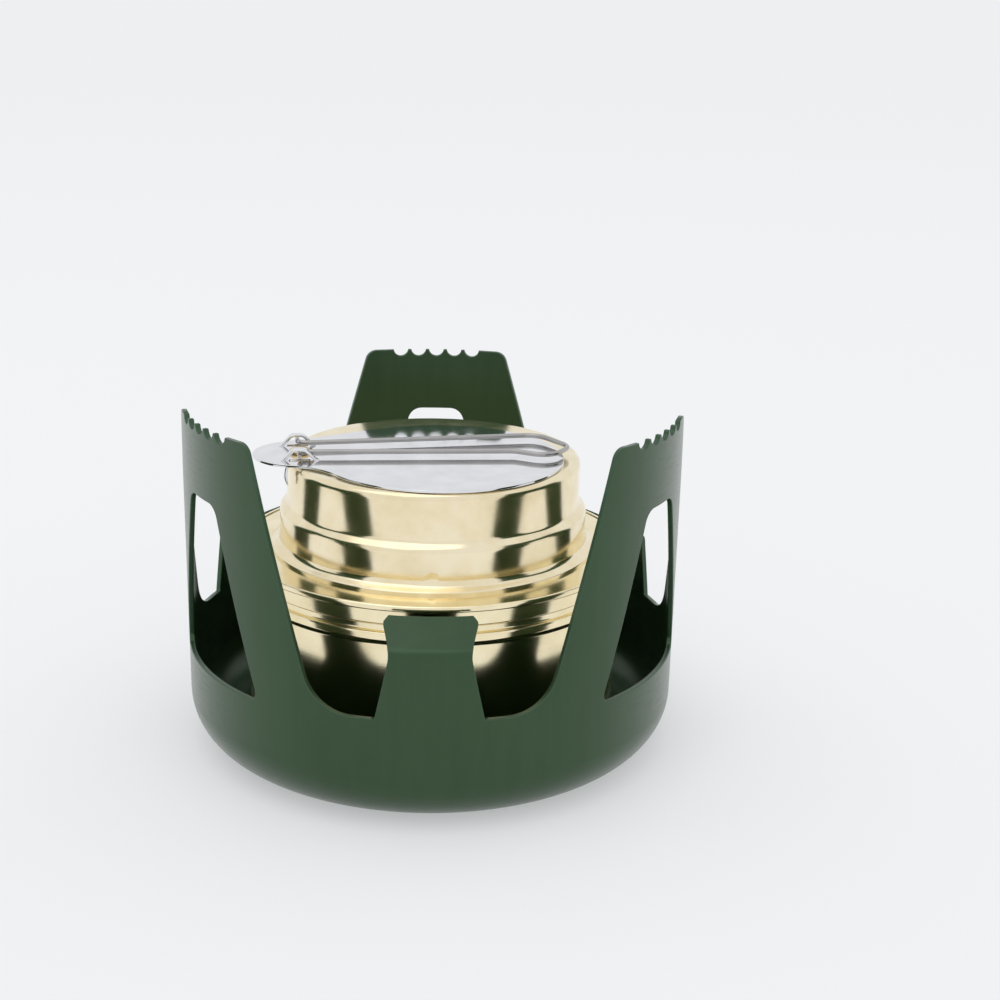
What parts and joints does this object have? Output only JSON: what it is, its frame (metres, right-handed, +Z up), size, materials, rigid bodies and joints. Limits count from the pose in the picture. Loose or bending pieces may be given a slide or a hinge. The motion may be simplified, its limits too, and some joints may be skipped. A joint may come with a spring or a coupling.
{
  "type": "alcohol spirit stove",
  "caption": "Brass spirit burner with a simmer ring, swing lid and folding wire handle, held central in a green drawn pot stand with notched legs, windows and bent tabs.",
  "frame": {"origin": "centre of the pot stand's underside, on the burner's axis", "axes": "+Z up along the burner's axis, -Y towards the tab at the front, -X towards the lid's thumb tab"},
  "size_m": [0.095, 0.095, 0.0666],
  "materials": {
    "green_anodised": "satin green anodised, with bare bright cut edges",
    "brass_cup": "polished and spun",
    "brass_neck": "turned, lightly oxidised",
    "wick_felt": "needled felt",
    "brass_cap": "polished, with a fluted grip",
    "seal_rubber": "matt",
    "brass_ring": "polished and spun",
    "steel_lid": "mirror polished stainless steel",
    "brass_rivet": "formed head",
    "steel_wire": "bright drawn stainless wire"
  },
  "bodies": {
    "stand": {"pot_stand": "green_anodised"},
    "burner": {"fuel_cup": "brass_cup", "jet_ring": "brass_neck", "well_sleeve": "brass_neck", "wick": "wick_felt"},
    "seal": {"cap_seal": "seal_rubber"},
    "cap": {"screw_cap": "brass_cap"},
    "regulator": {"simmer_ring": "brass_ring", "lid_rivet": "brass_rivet"},
    "lid": {"swing_lid": "steel_lid"},
    "handle": {"wire_handle": "steel_wire"}
  },
  "joints": [
    {"name": "burner_lift", "type": "slide", "parent": "stand", "child": "burner", "axis": [0, 0, 1], "range_m": [0, 0.075]},
    {"name": "cap_lift", "type": "slide", "parent": "burner", "child": "seal", "axis": [0, 0, 1], "range_m": [0, 0.006]},
    {"name": "cap_turn", "type": "hinge", "parent": "seal", "child": "cap", "pos_m": [0, 0, 0.043], "axis": [0, 0, 1], "range_deg": [0, 1080]},
    {"name": "regulator_lift", "type": "slide", "parent": "burner", "child": "regulator", "axis": [0, 0, 1], "range_m": [0, 0.04]},
    {"name": "lid_swing", "type": "hinge", "parent": "regulator", "child": "lid", "pos_m": [-0.02539, -0.0033, 0.0562], "axis": [0, 0, -1], "range_deg": [0, 45]},
    {"name": "handle_fold", "type": "hinge", "parent": "lid", "child": "handle", "pos_m": [-0.02568, -0.00334, 0.05755], "axis": [0.1288, -0.9917, 0], "range_deg": [0, 150]}
  ],
  "couplings": [
    {"joint": "cap_lift", "follows": "cap_turn", "m_per_rad": 0.00031825}
  ]
}
